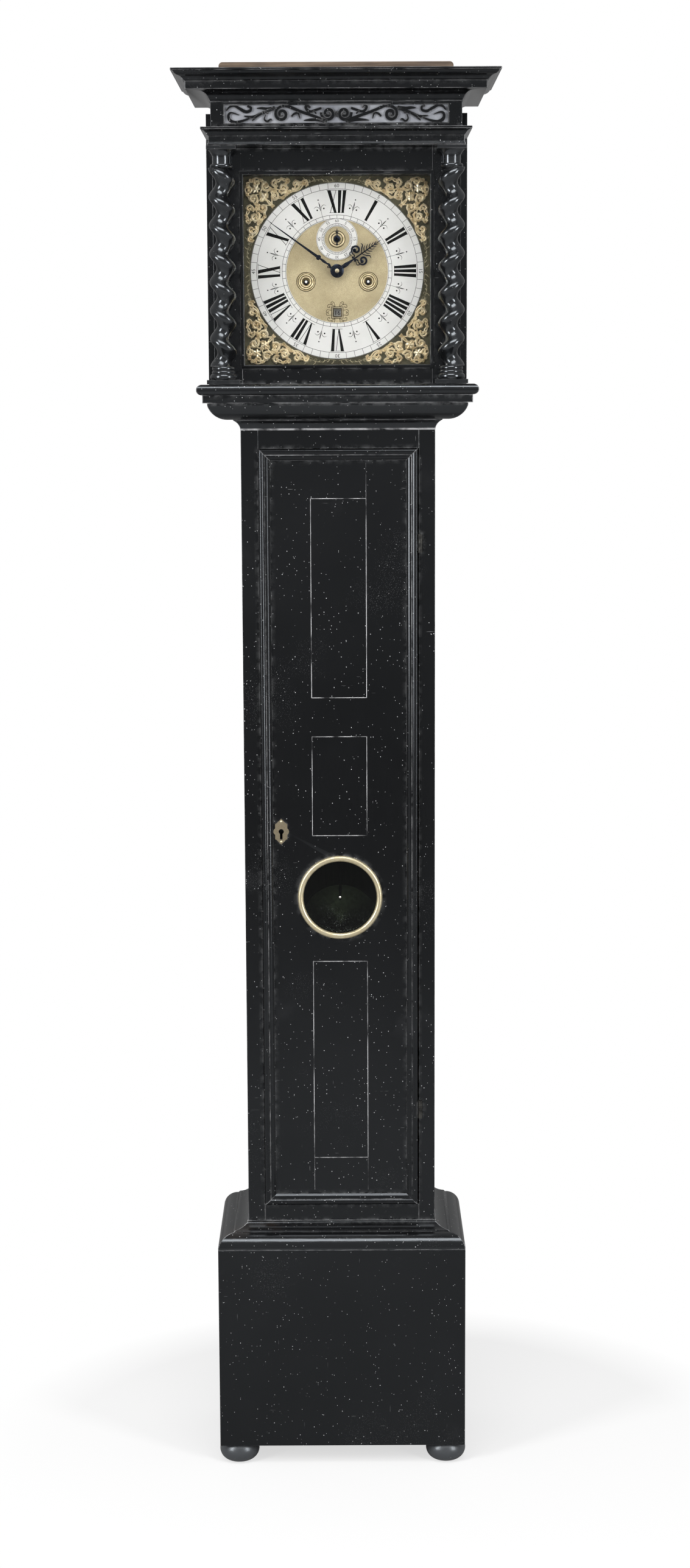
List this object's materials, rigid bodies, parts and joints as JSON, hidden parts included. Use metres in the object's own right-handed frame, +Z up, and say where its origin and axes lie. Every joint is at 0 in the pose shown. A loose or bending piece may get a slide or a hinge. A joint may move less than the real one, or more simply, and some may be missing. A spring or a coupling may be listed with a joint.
{
  "type": "longcase clock",
  "caption": "Tall pendulum clock: ebonised case with twist columns on its sliding hood, square brass dial, eight-day weight-driven movement behind a long trunk door.",
  "frame": {"origin": "on the floor, below the centre of the clock's outer box", "axes": "+Z up, -Y is the front, +X is to the right seen from the front"},
  "size_m": [0.4292, 0.248, 1.9363],
  "materials": {
    "ebonised_wood": "polished ebonised",
    "raw_wood": "raw aged",
    "brass": "satin",
    "aged_brass": "aged",
    "gilt_brass": "gilt",
    "dial_brass": "matted",
    "silvered_brass": "silvered",
    "bell_metal": "turned",
    "iron": "forged",
    "blued_steel": "blued",
    "clear_glass": "clear",
    "dark_glass": "clear",
    "silk": "woven",
    "gut": "twisted"
  },
  "bodies": {
    "case": {"bun_feet": "ebonised_wood", "base_front_board": "ebonised_wood", "base_side_boards": "ebonised_wood", "base_bottom_board": "ebonised_wood", "base_moulding": "ebonised_wood", "trunk_side_boards": "ebonised_wood", "trunk_front_frame": "ebonised_wood", "throat_moulding": "ebonised_wood", "backboard": "raw_wood", "seat_board": "raw_wood", "trunk_case_hinges": "iron", "movement_plates": "brass", "movement_pillars": "brass", "dial_plate": "dial_brass", "dial_rings": "silvered_brass", "dial_spandrels": "gilt_brass", "suspension_cock": "brass", "bell": "bell_metal", "going_line": "gut", "strike_line": "gut"},
    "hood": {"hood_base_moulding": "ebonised_wood", "hood_side_boards": "ebonised_wood", "hood_mask": "ebonised_wood", "hood_architrave": "ebonised_wood", "hood_frieze_boards": "ebonised_wood", "frieze_fret": "ebonised_wood", "fret_backing": "silk", "hood_cornice": "ebonised_wood", "hood_dust_board": "raw_wood"},
    "hood_door": {"hood_door_frame": "ebonised_wood", "hood_door_glass": "clear_glass", "left_twist_column": "ebonised_wood", "right_twist_column": "ebonised_wood"},
    "trunk_door": {"trunk_door_panel": "ebonised_wood", "trunk_door_moulding": "ebonised_wood", "lenticle_ring": "brass", "lenticle_glass": "dark_glass", "trunk_door_lock": "iron", "escutcheon": "aged_brass", "trunk_door_hinges": "iron"},
    "bolt": {"lock_bolt": "iron"},
    "pendulum": {"pendulum_rod": "iron", "pendulum_bob": "brass"},
    "anchor": {"anchor_crutch": "iron"},
    "escape_arbor": {"escape_wheel": "brass", "seconds_hand": "blued_steel"},
    "third_arbor": {"third_wheel": "brass"},
    "centre_arbor": {"centre_wheel": "brass", "minute_hand": "blued_steel"},
    "hour_pipe": {"hour_wheel": "brass", "hour_hand": "blued_steel"},
    "great_wheel": {"going_great_wheel": "brass"},
    "date_ring": {"date_ring": "brass"},
    "going_barrel": {"going_barrel": "brass"},
    "going_weight": {"going_weight": "brass"},
    "strike_barrel": {"strike_barrel": "brass"},
    "strike_weight": {"strike_weight": "brass"},
    "strike_great_wheel": {"strike_great_wheel": "brass"},
    "pin_wheel": {"pin_wheel": "brass"},
    "hammer": {"hammer": "iron"}
  },
  "joints": [
    {"name": "hood_slide", "type": "slide", "parent": "case", "child": "hood", "axis": [0, -1, 0], "range_m": [0, 0.28]},
    {"name": "hood_door_swing", "type": "hinge", "parent": "hood", "child": "hood_door", "pos_m": [0.1574, -0.03195, 1.6725], "axis": [0, 0, 1], "range_deg": [0, 90]},
    {"name": "trunk_door_swing", "type": "hinge", "parent": "case", "child": "trunk_door", "pos_m": [0.11125, -0.04435, 0.9], "axis": [0, 0, 1], "range_deg": [0, 100]},
    {"name": "bolt_throw", "type": "slide", "parent": "trunk_door", "child": "bolt", "axis": [-1, 0, 0], "range_m": [0, 0.008]},
    {"name": "pendulum_swing", "type": "hinge", "parent": "case", "child": "pendulum", "pos_m": [0, 0.09005, 1.74328], "axis": [0, 1, 0], "range_deg": [-2.5, 2.5]},
    {"name": "anchor_swing", "type": "hinge", "parent": "case", "child": "anchor", "pos_m": [0, 0.04105, 1.73868], "axis": [0, 1, 0], "range_deg": [-2.5, 2.5]},
    {"name": "seconds_turn", "type": "hinge", "parent": "case", "child": "escape_arbor", "pos_m": [0, 0.04105, 1.7104], "axis": [0, 1, 0], "continuous": true},
    {"name": "third_turn", "type": "hinge", "parent": "case", "child": "third_arbor", "pos_m": [0.01079, 0.04105, 1.69077], "axis": [0, 1, 0], "continuous": true},
    {"name": "minute_turn", "type": "hinge", "parent": "case", "child": "centre_arbor", "pos_m": [0, 0.04105, 1.668], "axis": [0, 1, 0], "continuous": true},
    {"name": "hour_turn", "type": "hinge", "parent": "case", "child": "hour_pipe", "pos_m": [0, 0.04105, 1.668], "axis": [0, 1, 0], "continuous": true},
    {"name": "great_wheel_turn", "type": "hinge", "parent": "case", "child": "great_wheel", "pos_m": [0.042, 0.04105, 1.654], "axis": [0, 1, 0], "continuous": true},
    {"name": "date_turn", "type": "hinge", "parent": "case", "child": "date_ring", "pos_m": [0, 0.04105, 1.668], "axis": [0, 1, 0], "continuous": true},
    {"name": "going_weight_fall", "type": "slide", "parent": "case", "child": "going_weight", "axis": [0, 0, -1], "range_m": [-0.06, 1.05], "deforming": ["going_line"]},
    {"name": "going_barrel_turn", "type": "hinge", "parent": "case", "child": "going_barrel", "pos_m": [0.042, 0.04105, 1.654], "axis": [0, 1, 0], "range_deg": [-280, 4800]},
    {"name": "strike_weight_fall", "type": "slide", "parent": "case", "child": "strike_weight", "axis": [0, 0, -1], "range_m": [-0.06, 1.05], "deforming": ["strike_line"]},
    {"name": "strike_barrel_turn", "type": "hinge", "parent": "case", "child": "strike_barrel", "pos_m": [-0.042, 0.04105, 1.654], "axis": [0, 1, 0], "range_deg": [-4800, 280]},
    {"name": "strike_wheel_turn", "type": "hinge", "parent": "case", "child": "strike_great_wheel", "pos_m": [-0.042, 0.04105, 1.654], "axis": [0, 1, 0], "continuous": true},
    {"name": "pin_wheel_turn", "type": "hinge", "parent": "case", "child": "pin_wheel", "pos_m": [-0.03, 0.04105, 1.69661], "axis": [0, 1, 0], "continuous": true},
    {"name": "hammer_swing", "type": "hinge", "parent": "case", "child": "hammer", "pos_m": [-0.064, 0.04105, 1.722], "axis": [0, 1, 0], "range_deg": [-10, 0], "stiffness_Nm_per_rad": 0.2, "springref_deg": 2.86}
  ],
  "couplings": [
    {"joint": "anchor_swing", "follows": "pendulum_swing", "ratio": 1},
    {"joint": "third_turn", "follows": "seconds_turn", "ratio": -0.125},
    {"joint": "minute_turn", "follows": "seconds_turn", "ratio": 0.016667},
    {"joint": "hour_turn", "follows": "seconds_turn", "ratio": 0.0013889},
    {"joint": "great_wheel_turn", "follows": "seconds_turn", "ratio": -0.0013889},
    {"joint": "date_turn", "follows": "seconds_turn", "ratio": 0.000022401},
    {"joint": "going_barrel_turn", "follows": "going_weight_fall", "rad_per_m": 79.681},
    {"joint": "strike_barrel_turn", "follows": "strike_weight_fall", "rad_per_m": -79.681},
    {"joint": "pin_wheel_turn", "follows": "strike_wheel_turn", "ratio": -10.5}
  ]
}
